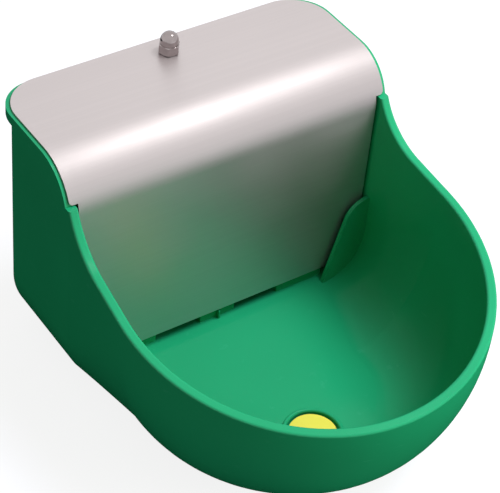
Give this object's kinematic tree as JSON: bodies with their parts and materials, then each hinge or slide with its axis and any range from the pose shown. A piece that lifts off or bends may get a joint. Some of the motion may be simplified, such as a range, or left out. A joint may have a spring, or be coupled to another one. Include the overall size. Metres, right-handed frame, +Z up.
{
  "type": "livestock drinking bowl",
  "caption": "Wall-hung moulded drinking bowl for livestock with a round-fronted basin, a bent steel cover over a float valve, and a drain plug.",
  "frame": {"origin": "centre of the four wall bolt holes, on the wall plane that the bosses and the rear lip touch", "axes": "+Y out of the back into the wall, the basin stands out towards -Y; +X to the right of someone facing the wall; +Z up"},
  "size_m": [0.2755, 0.303, 0.1973],
  "materials": {
    "green_plastic": "moulded, satin",
    "stainless_sheet": "brushed",
    "polished_steel": "polished",
    "steel": "plain",
    "brass": "plain",
    "yellow_plastic": "moulded",
    "rubber": "matt",
    "valve_plastic": "moulded",
    "float_plastic": "moulded"
  },
  "bodies": {
    "bowl_body": {"bowl": "green_plastic", "cover_stud": "steel", "stud_insert": "steel", "valve_body": "valve_plastic", "valve_seat": "brass", "inlet_filter": "valve_plastic", "inlet_gasket": "rubber", "inlet_washer": "steel", "lock_nut": "brass", "pivot_pin": "steel", "pin_clip": "steel"},
    "cover_body": {"cover": "stainless_sheet"},
    "nut_body": {"dome_nut": "polished_steel"},
    "plug_body": {"drain_plug": "yellow_plastic", "drain_seal": "rubber"},
    "piston_body": {"valve_piston": "valve_plastic", "piston_seal": "rubber"},
    "float_body": {"float_arm": "valve_plastic", "float_shell": "float_plastic", "float_cap": "float_plastic", "float_bolt": "steel", "float_nuts": "steel", "float_wing_nut": "steel"}
  },
  "joints": [
    {"name": "cover_lift", "type": "slide", "parent": "bowl_body", "child": "cover_body", "axis": [0, 0, 1], "range_m": [0, 0.17]},
    {"name": "dome_nut_turn", "type": "hinge", "parent": "cover_body", "child": "nut_body", "pos_m": [0, -0.016, 0.0717], "axis": [0, 0, 1], "continuous": true},
    {"name": "drain_plug_pull", "type": "slide", "parent": "bowl_body", "child": "plug_body", "axis": [0, 0, 1], "range_m": [0, 0.04]},
    {"name": "float_lever", "type": "hinge", "parent": "bowl_body", "child": "float_body", "pos_m": [0.0624, -0.06, -0.018], "axis": [0, -1, 0], "range_deg": [0, 9]},
    {"name": "piston_slide", "type": "slide", "parent": "bowl_body", "child": "piston_body", "axis": [-1, 0, 0], "range_m": [0, 0.0026]}
  ],
  "couplings": [
    {"joint": "piston_slide", "follows": "float_lever", "m_per_rad": 0.016}
  ]
}
